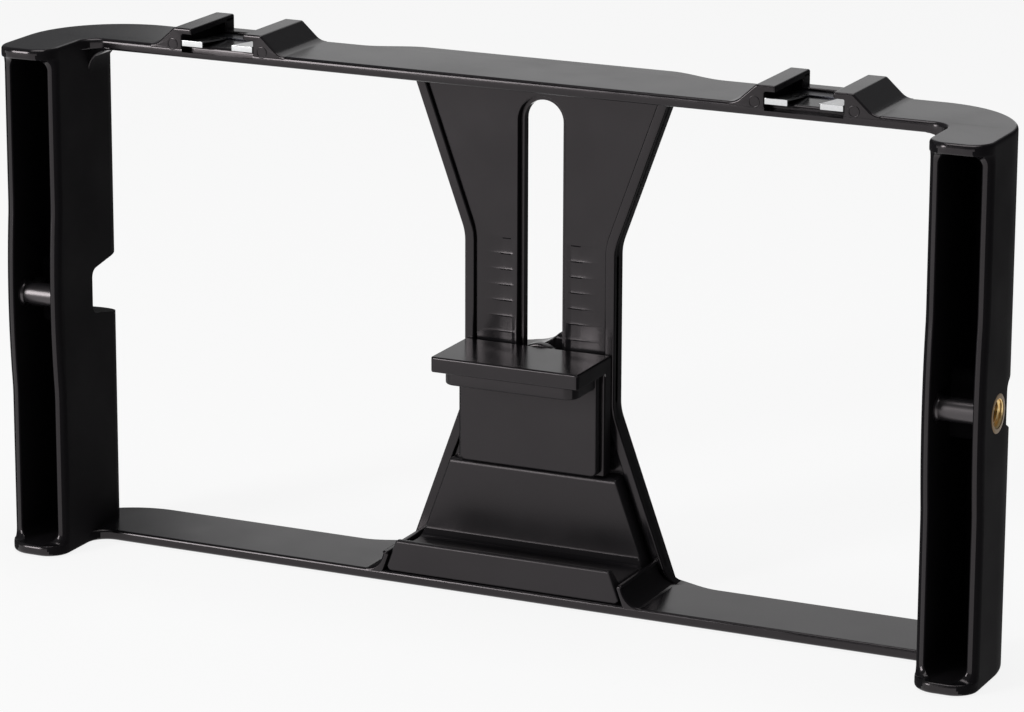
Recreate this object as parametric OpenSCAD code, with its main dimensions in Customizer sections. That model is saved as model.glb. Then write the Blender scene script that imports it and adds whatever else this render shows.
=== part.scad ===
// Phone video rig: a one-piece moulded frame with two channel handles, a slotted spine behind
// the phone, a sliding upper jaw locked by a knob at the back, and two accessory shoes on top.
// X runs from handle to handle, Y from the user's side to the back, Z up from the base.
// Y sizes are measured from the front rims of the handles; place() centres the whole rig.

/* [Frame] */
// Overall width across the handles
frame_w = 244.6; // [225:0.1:270]
// Height from the base to the upper face of the top plate
frame_h = 123.4; // [116:0.1:140]
// Thickness of the top and bottom plates
plate_t = 2.6; // [2:0.1:3.5]
// Front edge of the two bars, behind the handle rims
bar_setback = 15; // [13:0.5:17]
// Depth of the bars from front to back
bar_depth = 21.2; // [20:0.1:24]
// Radius of the outer back corners in plan
corner_r = 24; // [20:0.5:26]
// Radius between a bar's front edge and a handle
throat_r = 4.5; // [2:0.5:7]
// Fillet under the top bar at each handle
gusset_r = 6; // [2:0.5:10]

/* [Handles] */
// Width of a handle
handle_w = 14.7; // [13.5:0.1:17]
// Wall thickness of the handle channels
wall_t = 2.5; // [2:0.1:3]
// Radius of the channels' end corners
channel_r = 2.8; // [1:0.2:4]
// Radius of a handle's inner back edge
heel_r = 5.3; // [4.5:0.1:6.5]
// Reach of the plates in front of the handle rims
cap_reach = 3.9; // [2.5:0.1:5]
// Corner radius of the plates in front of the handles
cap_r = 5.6; // [3:0.1:6.5]
// Forward bulge of the rims at mid height
rim_bulge = 1.1; // [0.5:0.1:2]
// Height of that bulge
rim_bulge_h = 44; // [34:1:60]
// Floor of the notch across a handle's back, behind the rims
notch_y = 14.7; // [14:0.1:17]
// Height of the notch at its floor
notch_h = 10.6; // [8:0.2:14]
// Draft of the notch's upper and lower faces, in degrees
notch_draft = 10; // [4:1:14]

/* [Thread inserts] */
// Radius of the bar that crosses a channel
bar_r = 2.7; // [2.4:0.1:3.6]
// Wall of the seat round an insert
seat_t = 0.7; // [0.6:0.1:1]
// Bar and insert axis, behind the rims
boss_y = 8.9; // [8.2:0.1:9.6]
// Diameter of a brass insert's flange
flange_d = 9; // [8.4:0.1:9.6]
// Thickness of that flange
flange_t = 1.5; // [1:0.1:2]
// Diameter of the insert's body
insert_d = 7.6; // [7.4:0.1:7.8]
// Length of a brass insert
insert_l = 4.8; // [4:0.1:6]
// Diameter of the plain bore that stands for the 1/4 inch thread
thread_d = 6.35; // [6.2:0.05:6.5]

/* [Spine] */
// Width of the spine at its waist
waist_w = 38.4; // [36:0.2:42]
// Height of the straight waist
waist_h = 39.2; // [34:0.2:44]
// Angle at which the spine widens above and below the waist
flare = 20; // [16:1:22]
// Radius where the waist turns into the flare
waist_r = 12; // [6:1:20]
// Thickness of the spine plate
spine_t = 3.9; // [3.4:0.1:4.6]
// Height of the edge ribs in front of the plate
rib_h = 1; // [0.6:0.1:1.4]
// Width of the edge ribs
rib_w = 2.5; // [2:0.1:3]
// Step back of the bars behind the spine
spine_step = 4.3; // [3.5:0.1:5.5]
// Half width over which the step is full
step_in = 31; // [29:0.5:33]
// Half width at which the step has run out
step_out = 46; // [42:0.5:52]

/* [Slot] */
// Width of the slot's front part, which guides the jaw
slot_w = 12; // [11:0.1:13]
// Width of the slot's rear part
slot_rear_w = 9.9; // [8.4:0.1:10.4]
// Depth of the front part
slot_ledge = 1.4; // [1:0.1:1.8]
// Gap from the slot's top to the upper face of the top plate
slot_drop = 8.2; // [7:0.1:12]
// Pitch of the teeth beside the slot
tooth_pitch = 3.76; // [3:0.02:4.4]
// Depth of a tooth
tooth_depth = 0.4; // [0.2:0.05:0.6]
// Number of teeth
teeth = 13; // [9:1:15]

/* [Lower jaw] */
// Height of the pad's back wall above the base
pad_top = 27; // [24:0.5:29]
// Width of the pad at its top edge
pad_top_w = 42.8; // [40:0.2:43.4]
// Front face of the pad's back wall, behind the rims
pad_face_y = 32.2; // [30:0.1:33.5]
// Trough floor above the base
trough_z = 7; // [5.5:0.1:8]
// Front lip above the base
lip_top = 10.4; // [9:0.1:12]
// Thickness of the lip at its top
lip_t = 1.8; // [1.4:0.1:2.6]
// Setback of the pad behind the bar's front edge
pad_setback = 0.4; // [0.2:0.1:1]
// Gap between the pad and the cheeks at its ends
pad_gap = 0.4; // [0.2:0.1:0.8]
// Top of the cheeks above the base
cheek_z = 7.4; // [6.6:0.1:8.5]
// Thickness of a cheek at its top
cheek_t = 1.7; // [1.2:0.1:2.2]
// Fillet at the outer foot of a cheek and of the spine
cheek_r = 5; // [3:0.5:6]

/* [Upper jaw] */
// Width of the jaw carriage
jaw_w = 37.6; // [35:0.2:40]
// Height of the carriage plate from its lower edge to the shelf's top
jaw_h = 28.4; // [27:0.1:31]
// Gap between the carriage and the lower pad at the lowest stop
jaw_gap = 0.45; // [0.3:0.05:2]
// Thickness of the shelf
shelf_t = 3.75; // [3:0.05:4.5]
// Front edge of the shelf, behind the handle rims
shelf_y = 16.3; // [15:0.1:18]
// Thickness of the carriage plate in front of the ribs
carriage_t = 3.8; // [3.4:0.1:4.4]
// Running gap between the carriage and the spine
slide_gap = 0.15; // [0.1:0.05:0.3]
// Travel of the jaw
jaw_travel = 58.5; // [40:0.5:58.5]
// Thickness of the rubber behind the phone
back_pad_t = 1.9; // [1.2:0.1:2.5]
// Thickness of the rubber under the shelf
shelf_pad_t = 3.3; // [2:0.1:3.8]
// Inset of the rubber from the carriage's edges
pad_inset = 1.2; // [0.8:0.1:2]
// Corner radius of the rubber
pad_r = 1.5; // [1:0.5:4]

/* [Bolt and knob] */
// Diameter of the clamp bolt
bolt_d = 6; // [5:1:6]
// Bolt axis above the carriage's lower edge
bolt_rise = 15.05; // [13:0.05:17]
// Length of the bolt's shank
bolt_l = 14; // [13:1:16]
// Hex head and nut, across flats
hex_af = 10; // [9:0.5:10]
// Height of the bolt head
head_h = 4; // [3.5:0.1:4]
// Outside diameter of the washer
washer_d = 18; // [16:0.5:18]
// Thickness of the washer
washer_t = 1.2; // [1:0.1:1.6]
// Outside diameter of the knob over its lobes
knob_d = 29.6; // [27:0.2:34]
// Thickness of the knob behind the bolt's end
knob_end = 1.6; // [1.2:0.1:3]
// Diameter of the knob's hub
hub_d = 18; // [16:0.5:20]
// Number of lobes
lobes = 6; // [5:1:8]
// Depth of the hollows between the lobes
hollow_depth = 2.9; // [1.5:0.1:3.2]
// Radius of those hollows
hollow_r = 14; // [8:0.5:18]
// Height of the nut
nut_h = 5; // [4:0.5:6]

/* [Shoes] */
// Distance of a shoe's centre from the middle
shoe_x = 73.1; // [68:0.1:78]
// Clear width between the rails
shoe_w = 18.7; // [18.6:0.05:19]
// Clear width between the lips
lip_gap = 13.5; // [13:0.1:14]
// Height of the rails above the top plate
rail_h = 4.4; // [4.2:0.1:5]
// Thickness of the lips
lip_h = 1.5; // [1.2:0.1:1.7]
// Width of a rail's top, lip included
rail_top_w = 4.7; // [4.2:0.1:5.4]
// Slope of a rail's outer flank, in degrees
flank = 42; // [36:1:55]
// Fillet at the foot of that flank
flank_r = 4; // [2:0.2:5]
// Depth of the step in front of a shoe's floor
sill_d = 2.8; // [2:0.1:4]
// Height of that step
sill_h = 1.3; // [1:0.1:1.6]
// Length of the stop at the back of a shoe
stop_l = 4.2; // [3:0.1:5]
// Height of that stop
stop_h = 1; // [0.8:0.1:1.2]
// Diameter of the round ejector marks
mark_d = 2.8; // [2.4:0.1:3.4]
// Thickness of the spring steel
steel_t = 0.4; // [0.3:0.05:0.5]
// Rise of a spring prong at its front
prong_rise = 1.2; // [0.8:0.1:1.4]
// Width of a spring prong
prong_w = 5.4; // [4.5:0.1:6]

/* [Hidden] */
$fn = 64;
eps = 0.01;
clear = 0.1;
bolt_room = 0.5;
half_w = frame_w / 2;
inner_x = half_w - handle_w;
mid_z = frame_h / 2;
under_z = frame_h - plate_t;
bar_back = bar_setback + bar_depth;
spine_back = bar_back + spine_step;
plate_y = spine_back - spine_t;
rib_y = plate_y - rib_h;
corner_c = [half_w - corner_r, bar_back - corner_r];
heel_c = [inner_x + heel_r,
          corner_c[1] + sqrt(pow(corner_r - heel_r, 2) - pow(inner_x + heel_r - corner_c[0], 2))];
heel_a = atan2(heel_c[1] - corner_c[1], heel_c[0] - corner_c[0]);
waist_turn = waist_r * tan(flare / 2);
slot_top = frame_h - slot_drop;
ledge_w = (slot_w - slot_rear_w) / 2;
jaw_z = pad_top + jaw_gap;
shelf_z = jaw_z + jaw_h;
shelf_under = shelf_z - shelf_t;
bolt_z = jaw_z + bolt_rise;
carriage_back = rib_y - 0.2;
carriage_front = carriage_back - carriage_t;
land_back = plate_y - slide_gap;
land_w = waist_w - 2 * rib_w - 0.8;
tongue_w = slot_w - 0.3;
tongue_top = slot_top - jaw_travel - 0.2;
tongue_low = jaw_z + 4.3;
tongue_back = plate_y + slot_ledge - 0.2;
slot_low = tongue_low - 1;
tooth_top = jaw_z + 53.3;
head_seat = carriage_front + head_h + 0.2;
bolt_end = head_seat + bolt_l;
washer_y = spine_back + clear;
knob_y = washer_y + washer_t + clear;
knob_back = bolt_end + bolt_room + knob_end;
knob_l = knob_back - knob_y;
mid_y = (knob_back - cap_reach) / 2;

BLACK_ABS = [0.09, 0.085, 0.09];
RUBBER = [0.13, 0.13, 0.13];
BRASS = [0.80, 0.62, 0.30];
STEEL = [0.78, 0.78, 0.80];

// Points along an arc, from angle a0 to a1
function arc(c, r, a0, a1, n = 12) =
    [for (i = [0:n]) let (a = a0 + (a1 - a0) * i / n) [c[0] + r * cos(a), c[1] + r * sin(a)]];

// The same points mirrored in X, in reverse order
function mirrored(points) = [for (i = [len(points) - 1:-1:0]) [-points[i][0], points[i][1]]];

function ease(t) = t * t * (3 - 2 * t);

// Half widths of the spine and of the lower pad at a height above the base, below the waist
function spine_half(z) = waist_w / 2 + tan(flare) * (mid_z - waist_h / 2 - z);
function pad_half(z) = pad_top_w / 2 + tan(flare) * (pad_top - z);

// Extrudes a drawing in X and Z along Y, or one in Y and Z along X
module along_y(y0, y1) translate([0, y1, 0]) rotate([90, 0, 0]) linear_extrude(y1 - y0) children();
module along_x(x0, x1) translate([x0, 0, 0]) rotate([90, 0, 90]) linear_extrude(x1 - x0) children();

module place() translate([0, -mid_y, 0]) children();

module both_sides() {
    children();
    mirror([1, 0, 0]) children();
}

// Round bar along Y at a given X and Z
module y_cyl(r, y0, y1, x = 0, z = 0) translate([x, y1, z]) rotate([90, 0, 0]) cylinder(r = r, h = y1 - y0);

module hex_bar(af, y0, y1, z) {
    translate([0, y1, z]) rotate([90, 0, 0]) cylinder(r = af / sqrt(3), h = y1 - y0, $fn = 6);
}

// Plan of both plates: the front edge, the rounded handle ends, the big outer corners and the step
// behind the spine
function plate_side() = concat(
    [[0, bar_setback]],
    arc([inner_x - throat_r, bar_setback - throat_r], throat_r, 90, 0, 6),
    arc([inner_x + cap_r, cap_r - cap_reach], cap_r, 180, 270, 8),
    arc([half_w - cap_r, cap_r - cap_reach], cap_r, 270, 360, 8),
    arc(corner_c, corner_r, 0, 90, 16),
    [for (i = [0:10]) [step_out + (step_in - step_out) * i / 10, bar_back + spine_step * ease(i / 10)]],
    [[0, spine_back]]);

module plate_plan() polygon(concat(plate_side(), mirrored(plate_side())));

// Plan of a handle, or of the channel inside it
module handle_plan(inset, front) polygon(concat(
    [[inner_x + inset, front], [half_w - inset, front]],
    arc(corner_c, corner_r - inset, 0, heel_a, 12),
    arc(heel_c, heel_r - inset, heel_a, 180, 10)));

// Space in front of the handle rims, with rounded ends and a shallow bulge at mid height
module rim_front() {
    bulge_r = (pow(rim_bulge_h / 2, 2) + pow(rim_bulge, 2)) / (2 * rim_bulge);
    end_r = cap_reach - 1.4;
    difference() {
        polygon(concat([[-20, plate_t]], arc([-end_r, plate_t + end_r], end_r, 270, 360, 6),
                       arc([-end_r, under_z - end_r], end_r, 0, 90, 6), [[-20, under_z]]));
        translate([bulge_r - rim_bulge, mid_z]) circle(r = bulge_r, $fn = 360);
    }
}

// Front view of a channel with its round end corners
module channel_front() {
    in = inner_x + wall_t + channel_r;
    out = half_w - wall_t - channel_r;
    low = plate_t + channel_r;
    top = under_z - channel_r;
    polygon(concat(arc([in, low], channel_r, 180, 270, 6), arc([out, low], channel_r, 270, 360, 6),
                   arc([out, top], channel_r, 0, 90, 6), arc([in, top], channel_r, 90, 180, 6)));
}

// Notch through a handle's back, drawn in Y and Z; grow adds the wall round it
module notch_side(grow) {
    reach = 40 - notch_y;
    low = notch_h / 2 + grow;
    high = low + reach * tan(notch_draft);
    turn = 2;
    polygon([[notch_y - grow, mid_z - low + turn], [notch_y - grow + turn, mid_z - low],
             [notch_y + reach, mid_z - high], [notch_y + reach, mid_z + high],
             [notch_y - grow + turn, mid_z + low], [notch_y - grow, mid_z + low - turn]]);
}

module x_cyl(r, x0, x1) translate([x0, boss_y, mid_z]) rotate([0, 90, 0]) cylinder(r = r, h = x1 - x0);

// Right handle: channel open to the front, with the bar across it, the insert's seat and the notch behind
module handle() difference() {
    union() {
        difference() {
            translate([0, 0, plate_t / 2]) linear_extrude(frame_h - plate_t) intersection() {
                plate_plan();
                handle_plan(0, -cap_reach);
            }
            difference() {
                intersection() {
                    translate([0, 0, plate_t]) linear_extrude(under_z - plate_t) handle_plan(wall_t, -20);
                    along_y(-20, bar_back) channel_front();
                }
                along_x(inner_x, half_w) notch_side(wall_t);
            }
        }
        x_cyl(bar_r, inner_x + wall_t / 2, half_w - wall_t / 2);
        x_cyl(insert_d / 2 + seat_t, half_w - insert_l - seat_t, half_w - wall_t / 2);
    }
    along_x(inner_x - 1, half_w + 1) rim_front();
    along_x(inner_x - 1, half_w + 1) notch_side(0);
    x_cyl(insert_d / 2, half_w - insert_l, half_w + 1);
    x_cyl(flange_d / 2, half_w - flange_t, half_w + 1);
}

// Concave fillet between the top bar and the handle's inner wall
module gusset() along_y(bar_setback, heel_c[1]) difference() {
    translate([inner_x - gusset_r, under_z - gusset_r]) square([gusset_r + wall_t / 2, gusset_r + plate_t / 2]);
    translate([inner_x - gusset_r, under_z - gusset_r]) circle(r = gusset_r);
}

// Front view of the spine; inset draws the edge of the ribs
module spine_front(inset) {
    low = plate_t / 2;
    c = waist_w / 2 + waist_r;
    low_c = mid_z - waist_h / 2 + waist_turn;
    end = spine_half(low) - inset / cos(flare);
    side = concat([[end, low]], arc([c, low_c], waist_r + inset, 180 + flare, 180, 6),
                  arc([c, frame_h - low_c], waist_r + inset, 180, 180 - flare, 6), [[end, frame_h - low]]);
    polygon(concat(side, mirrored(side)));
}

// Front view of a slot with round ends
module slot_front(w, low, top) {
    translate([-w / 2, low + w / 2]) square([w, top - low - w]);
    for (z = [low + w / 2, top - w / 2]) translate([0, z]) circle(r = w / 2);
}

// Sawtooth cut beside the slot, drawn in Y and Z
module teeth_side() polygon(concat(
    [[plate_y - 1, tooth_top - teeth * tooth_pitch], [plate_y - 1, tooth_top]],
    [for (i = [0:teeth - 1]) each [[plate_y + tooth_depth, tooth_top - i * tooth_pitch],
                                   [plate_y, tooth_top - (i + 1) * tooth_pitch]]]));

module spine() difference() {
    union() {
        along_y(plate_y, spine_back) spine_front(0);
        along_y(rib_y, plate_y + eps) difference() {
            spine_front(0);
            spine_front(rib_w);
        }
    }
    along_y(rib_y - 1, plate_y + slot_ledge) slot_front(slot_w, slot_low, slot_top);
    along_y(plate_y, spine_back + 1) slot_front(slot_rear_w, slot_low + ledge_w, slot_top - ledge_w);
    for (x = [-land_w / 2, slot_w / 2 + 0.5]) along_x(x, x + (land_w - slot_w) / 2 - 0.5) teeth_side();
}

// Cheek that holds the end of the lower pad, with a hollow outer side that runs out on the plate
module cheek() {
    low = plate_t / 2;
    in = pad_half(cheek_z) + pad_gap;
    steep = 8;
    c = [in + cheek_t + cheek_r * cos(steep), plate_t + cheek_r];
    along_y(bar_setback, rib_y + 0.5) polygon(concat(
        [[c[0], low], [pad_half(low) + pad_gap, low], [in, cheek_z], [in + cheek_t, cheek_z]],
        arc(c, cheek_r, 180 + steep, 270, 8)));
}

// Fillet between the spine's edge and the bottom plate
module spine_foot() {
    low = plate_t / 2;
    turn_z = plate_t + cheek_r * (1 - sin(flare));
    c = [spine_half(turn_z) + cheek_r * cos(flare), plate_t + cheek_r];
    along_y(rib_y, spine_back - 2) polygon(concat(
        [[c[0], low], [spine_half(low) - rib_w, low], [spine_half(turn_z) - rib_w, turn_z]],
        arc(c, cheek_r, 180 + flare, 270, 8)));
}

// Half of a shoe: one rail with its lip and its sloped flank, drawn in X and Z
module rail_front() {
    in = shoe_w / 2;
    out = lip_gap / 2 + rail_top_w;
    top = frame_h + rail_h;
    foot = out + (flank_r - (flank_r - rail_h) * cos(flank)) / sin(flank);
    polygon(concat(
        [[foot, frame_h - 1], [in, frame_h - 1], [in, top - lip_h], [lip_gap / 2, top - lip_h],
         [lip_gap / 2, top], [out, top]],
        arc([foot, frame_h + flank_r], flank_r, 270 - flank, 270, 6)));
}

module shoe() translate([shoe_x, 0, 0]) {
    both_sides() {
        along_y(bar_setback, bar_back) rail_front();
        translate([lip_gap / 2, bar_back - stop_l, frame_h - 1])
            cube([(shoe_w - lip_gap) / 2 + eps, stop_l, rail_h - lip_h / 2 + 1]);
    }
    translate([-lip_gap / 2 - eps, bar_back - stop_l, frame_h - 1])
        cube([lip_gap + 2 * eps, stop_l, stop_h + 1]);
}

// Cuts at a shoe: the step in front of its floor and the round marks beside it
module shoe_cuts() translate([shoe_x, 0, 0]) {
    translate([-shoe_w / 2, bar_setback - 1, frame_h - sill_h]) cube([shoe_w, sill_d + 1, sill_h + 1]);
    for (x = [-1, 1]) y_cyl(mark_d / 2, bar_setback - 1, bar_setback + 0.15, x * (shoe_w / 2 + 2.4), frame_h + 0.5);
}

module frame() color(BLACK_ABS) place() difference() {
    union() {
        linear_extrude(plate_t) plate_plan();
        translate([0, 0, under_z]) linear_extrude(plate_t) plate_plan();
        both_sides() {
            handle();
            gusset();
            cheek();
            spine_foot();
            shoe();
        }
        spine();
    }
    both_sides() shoe_cuts();
}

module thread_insert() difference() {
    union() {
        x_cyl(insert_d / 2, half_w - insert_l, half_w - flange_t / 2);
        x_cyl(flange_d / 2, half_w - flange_t, half_w);
    }
    x_cyl(thread_d / 2, half_w - insert_l - 1, half_w + 1);
}

module right_thread_insert() color(BRASS) place() thread_insert();

module left_thread_insert() color(BRASS) place() mirror([1, 0, 0]) thread_insert();

// One bent prong of a shoe spring, drawn in Y and Z, with its tab folded down at the front
module prong_side(root) polygon([
    [root, frame_h], [root, frame_h + steel_t],
    [bar_setback, frame_h + prong_rise + steel_t], [bar_setback, frame_h + 0.2],
    [bar_setback + steel_t, frame_h + 0.2], [bar_setback + steel_t, frame_h + prong_rise]]);

module shoe_spring() translate([shoe_x, 0, 0]) {
    base_y = bar_back - stop_l - 4.4;
    out = shoe_w / 2 - 0.1;
    translate([-out, base_y, frame_h]) cube([2 * out, 4.3, steel_t]);
    both_sides() along_x(out - prong_w, out) prong_side(base_y + 0.5);
}

module right_shoe_spring() color(STEEL) place() shoe_spring();

module left_shoe_spring() color(STEEL) place() mirror([1, 0, 0]) shoe_spring();

// Lower pad: a trough with a front lip and a back wall, narrowing upwards with the spine
module lower_jaw_pad() color(RUBBER) place() intersection() {
    front = bar_setback + pad_setback;
    side = [[pad_half(plate_t) - 1.2, plate_t], [pad_half(plate_t + 1), plate_t + 1], [pad_half(pad_top), pad_top]];
    along_y(front - 1, plate_y + 1) polygon(concat(side, mirrored(side)));
    along_x(-100, 100) polygon([
        [front, plate_t], [front, lip_top], [front + lip_t, lip_top], [front + lip_t + 1.4, trough_z],
        [pad_face_y - 1.4, trough_z], [pad_face_y, trough_z + 1.4], [pad_face_y, pad_top],
        [plate_y, pad_top], [plate_y, plate_t]]);
}

module jaw_carriage() color(BLACK_ABS) place() difference() {
    union() {
        translate([-jaw_w / 2, shelf_y, shelf_under]) cube([jaw_w, carriage_back - shelf_y, shelf_t]);
        translate([-jaw_w / 2, carriage_front, jaw_z]) cube([jaw_w, carriage_t, jaw_h]);
        translate([-land_w / 2, carriage_back - 1, jaw_z + 0.8])
            cube([land_w, land_back - carriage_back + 1, jaw_h - 1.6]);
        along_y(land_back - 1, tongue_back) slot_front(tongue_w, tongue_low, tongue_top);
    }
    y_cyl(bolt_d / 2 + clear, carriage_front, tongue_back + 1, 0, bolt_z);
    hex_bar(hex_af, carriage_front - 1, head_seat, bolt_z);
}

// Rounded rectangle in two dimensions, round at the low corners only
module low_round(w, low, top, r) {
    translate([-w / 2, low + r]) square([w, top - low - r]);
    translate([-w / 2 + r, low]) square([w - 2 * r, r + eps]);
    for (x = [-1, 1]) translate([x * (w / 2 - r), low + r]) circle(r = r);
}

module jaw_pad() color(RUBBER) place() {
    w = jaw_w - 2 * pad_inset;
    along_y(carriage_front - back_pad_t, carriage_front) low_round(w, jaw_z + 0.2, shelf_under, pad_r);
    translate([0, 0, shelf_under - shelf_pad_t]) linear_extrude(shelf_pad_t)
        low_round(w - 1.4, shelf_y + 2.2, carriage_front, pad_r + 1.5);
}

module clamp_bolt() color(STEEL) place() {
    hex_bar(hex_af, head_seat - head_h, head_seat, bolt_z);
    y_cyl(bolt_d / 2, head_seat - 1, bolt_end, 0, bolt_z);
}

module knob_washer() color(STEEL) place() difference() {
    y_cyl(washer_d / 2, washer_y, washer_y + washer_t, 0, bolt_z);
    y_cyl(bolt_d / 2 + 0.2, washer_y - 1, washer_y + washer_t + 1, 0, bolt_z);
}

// Lobed knob: the hollow nearest the top leans towards the left handle, as it stands when tight
module clamp_knob() color(BLACK_ABS) place() translate([0, knob_y, bolt_z]) rotate([-90, 0, 0]) difference() {
    r = knob_d / 2;
    hub_l = 2;
    hollow_turn = 250;
    rotate_extrude() polygon([[0, 0], [hub_d / 2, 0], [hub_d / 2, hub_l], [r - 1, hub_l], [r, hub_l + 1],
                              [r, knob_l - 2], [r - 2, knob_l], [0, knob_l]]);
    for (i = [0:lobes - 1]) rotate(hollow_turn + 360 * i / lobes)
        translate([r - hollow_depth + hollow_r, 0, hub_l - eps]) cylinder(r = hollow_r, h = knob_l);
    translate([0, 0, -1]) cylinder(r = hex_af / sqrt(3), h = nut_h + 1 + clear, $fn = 6);
    cylinder(r = bolt_d / 2 + 0.3, h = knob_l - knob_end);
}

module knob_nut() color(STEEL) place() difference() {
    hex_bar(hex_af, knob_y + clear, knob_y + clear + nut_h, bolt_z);
    y_cyl(bolt_d / 2 + 0.05, knob_y - 1, knob_y + nut_h + 1, 0, bolt_z);
}

frame();
left_thread_insert();
right_thread_insert();
left_shoe_spring();
right_shoe_spring();
lower_jaw_pad();
jaw_carriage();
jaw_pad();
clamp_bolt();
knob_washer();
clamp_knob();
knob_nut();
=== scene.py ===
# %% [markdown]
# # A phone video rig
# The rig is one black moulded frame with a handle at each end, two rubber pads that hold the phone, a
# sliding jaw with a lobed knob behind it, two bent steel springs in the accessory shoes and two brass
# thread inserts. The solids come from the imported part, at their real size. This lesson sets up a camera
# and a small studio, makes the finishes, and then gives each piece the rounded edges and the small details
# that the eye sees.

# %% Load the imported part
import math

import bmesh
import bpy
from mathutils import Euler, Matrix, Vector
from mathutils.geometry import tessellate_polygon


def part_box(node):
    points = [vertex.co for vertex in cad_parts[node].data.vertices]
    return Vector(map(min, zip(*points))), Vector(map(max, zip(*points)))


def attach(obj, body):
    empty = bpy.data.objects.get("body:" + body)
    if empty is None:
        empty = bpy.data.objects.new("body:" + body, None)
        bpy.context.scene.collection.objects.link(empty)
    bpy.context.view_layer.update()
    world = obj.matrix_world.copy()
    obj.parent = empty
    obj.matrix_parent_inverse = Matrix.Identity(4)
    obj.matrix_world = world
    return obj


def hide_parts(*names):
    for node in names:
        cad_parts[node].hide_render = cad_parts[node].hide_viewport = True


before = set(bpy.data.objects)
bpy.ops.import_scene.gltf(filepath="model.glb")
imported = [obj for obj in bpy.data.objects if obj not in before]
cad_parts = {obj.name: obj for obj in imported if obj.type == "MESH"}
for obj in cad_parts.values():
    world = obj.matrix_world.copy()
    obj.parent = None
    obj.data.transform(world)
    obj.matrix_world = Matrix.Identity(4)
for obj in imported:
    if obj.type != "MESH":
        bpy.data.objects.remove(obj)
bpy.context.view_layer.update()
MM = 0.001
print("nodes:", ", ".join(sorted(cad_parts)))

# %% [markdown]
# ## Where things are
# The width, the height and the places of the shoes, the inserts, the jaw and the lower pad are read from
# the boxes of the nodes. Thicknesses and radii can't be read from a box, so they are written down where
# they are used. The handles' caps are the front of the frame, and the rims lie a fixed reach behind them.

# %% Landmarks of the rig
CAP_REACH = 3.9 * MM
HANDLE_WIDTH = 14.7 * MM
frame_low, frame_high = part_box("frame")
shoe_low, shoe_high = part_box("right_shoe_spring")
insert_low, insert_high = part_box("right_thread_insert")
carriage_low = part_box("jaw_carriage")[0]
lower_pad_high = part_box("lower_jaw_pad")[1]
rim_y = frame_low.y + CAP_REACH
half_width = frame_high.x
handle_inner = half_width - HANDLE_WIDTH
top_face = shoe_low.z
mid_height = (insert_low.z + insert_high.z) / 2
print("rims at y = %.1f mm, top plate at z = %.1f mm" % (rim_y / MM, top_face / MM))

# %% [markdown]
# ## Colour and nodes
# Colours are written as sRGB hex values, as a colour picker shows them, and shaders want linear light, so
# one function converts them. A second small function adds a shader node, sets it and links it.

# %% Helpers for materials
def linear(hex_colour):
    channels = [int(hex_colour[i:i + 2], 16) / 255 for i in (1, 3, 5)]
    return [c / 12.92 if c <= 0.04045 else ((c + 0.055) / 1.055) ** 2.4 for c in channels] + [1.0]


def set_inputs(node, values):
    for socket, value in values.items():
        node.inputs[socket].default_value = value


def add_node(tree, kind, links=None, values=None, **settings):
    node = tree.nodes.new(kind)
    for name, value in settings.items():
        setattr(node, name, value)
    set_inputs(node, values or {})
    for socket, source in (links or {}).items():
        tree.links.new(source, node.inputs[socket])
    return node


def new_material(name):
    material = bpy.data.materials.new(name)
    material.use_nodes = True
    tree = material.node_tree
    tree.nodes.clear()
    shader = add_node(tree, "ShaderNodeBsdfPrincipled")
    add_node(tree, "ShaderNodeOutputMaterial", {"Surface": shader.outputs["BSDF"]})
    return material, tree, shader


print("a mid grey, #808080, is", round(linear("#808080")[0], 3), "in linear light")

# %% [markdown]
# ## Camera
# The photograph was taken from the right of the rig and a little above it, through a long lens. The
# camera stands at that bearing and aims a little below the middle of the rig.

# %% Camera at the photograph's angle
VIEW_AZIMUTH = 25.1
VIEW_ELEVATION = 15.3
VIEW_ROLL = 0.2
VIEW_DISTANCE = 1.059
LENS = 161.0
SENSOR_WIDTH = 36.0
NEAREST = 0.01
aim = Vector((-1.4, 0.0, 56.2)) * MM
azimuth, elevation = math.radians(VIEW_AZIMUTH), math.radians(VIEW_ELEVATION)
back = Vector((math.sin(azimuth) * math.cos(elevation), -math.cos(azimuth) * math.cos(elevation),
               math.sin(elevation)))
camera_data = bpy.data.cameras.new("camera")
camera_data.lens = LENS
camera_data.sensor_width = SENSOR_WIDTH
camera_data.clip_start = NEAREST
camera = bpy.data.objects.new("camera", camera_data)
bpy.context.scene.collection.objects.link(camera)
camera.location = aim + back * VIEW_DISTANCE
turn = Euler((math.radians(90) - elevation, 0, azimuth), "XYZ").to_matrix()
roll = Euler((0, 0, math.radians(VIEW_ROLL)), "XYZ").to_matrix()
camera.rotation_euler = (turn @ roll).to_euler()
bpy.context.scene.camera = camera
print("camera at", [round(v, 3) for v in camera.location])

# %% [markdown]
# ## Studio
# The rig stands on a plain pale floor. Black plastic shows almost nothing but reflections, so what counts is
# what each face mirrors. The top faces mirror a tall panel behind the rig on the left, and the rounded edges
# mirror a narrow softbox at the front left. A large soft panel overhead lights the floor and draws a line
# along the upper edges. The floor glows white where the camera or a mirror looks at it, but about a seventh
# of it is ordinary lit paper there, so it keeps the rig's shadow.

# %% Floor, world and lamps
LIT_SHARE = 0.14
PAPER_ROUGHNESS = 0.9
FLOOR_GAP = 0.0002
FLOOR_SIZE = 8.0
WORLD_STRENGTH = 0.15


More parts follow.
